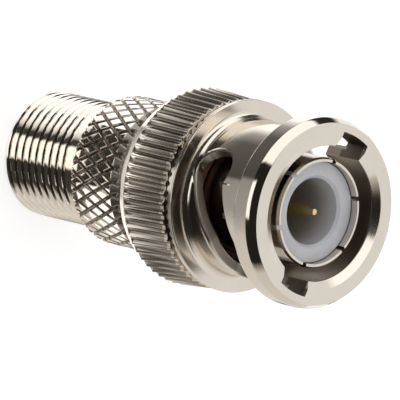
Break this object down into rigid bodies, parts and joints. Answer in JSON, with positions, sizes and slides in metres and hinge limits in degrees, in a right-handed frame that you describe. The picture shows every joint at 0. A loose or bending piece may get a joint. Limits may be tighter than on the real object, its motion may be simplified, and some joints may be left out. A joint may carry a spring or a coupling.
{
  "type": "coax adapter",
  "caption": "Straight coaxial adapter: a bayonet plug with a knurled, cam-slotted coupling nut at one end and a threaded jack with a diamond-knurled grip at the other.",
  "frame": {"origin": "centre of the threaded jack's end face, on which the part stands", "axes": "+Z along the shared axis, from the threaded jack to the bayonet plug's mouth"},
  "size_m": [0.0148, 0.0148, 0.0305],
  "materials": {
    "nickel": "polished warm nickel plate",
    "spring_steel": "satin",
    "gold": "gold flash, satin",
    "bronze": "satin",
    "white_plastic": "smooth, slightly waxy",
    "red_rubber": "matte"
  },
  "bodies": {
    "body": {"jack_body": "nickel", "jack_insulator": "white_plastic", "socket_contact": "bronze", "contact_pin": "gold", "plug_insulator": "white_plastic", "finger_shell": "nickel", "gasket": "red_rubber", "wave_washers": "spring_steel"},
    "washer": {"thrust_washer": "spring_steel"},
    "nut": {"coupling_nut": "nickel", "retaining_ring": "spring_steel"}
  },
  "joints": [
    {"name": "nut_slide", "type": "slide", "parent": "body", "child": "washer", "axis": [0, 0, 1], "range_m": [0, 0.0008], "stiffness_N_per_m": 12000, "springref_m": -0.0005, "deforming": ["wave_washers"]},
    {"name": "nut_turn", "type": "hinge", "parent": "washer", "child": "nut", "pos_m": [0, 0, 0.0174], "axis": [0, 0, 1], "continuous": true}
  ]
}
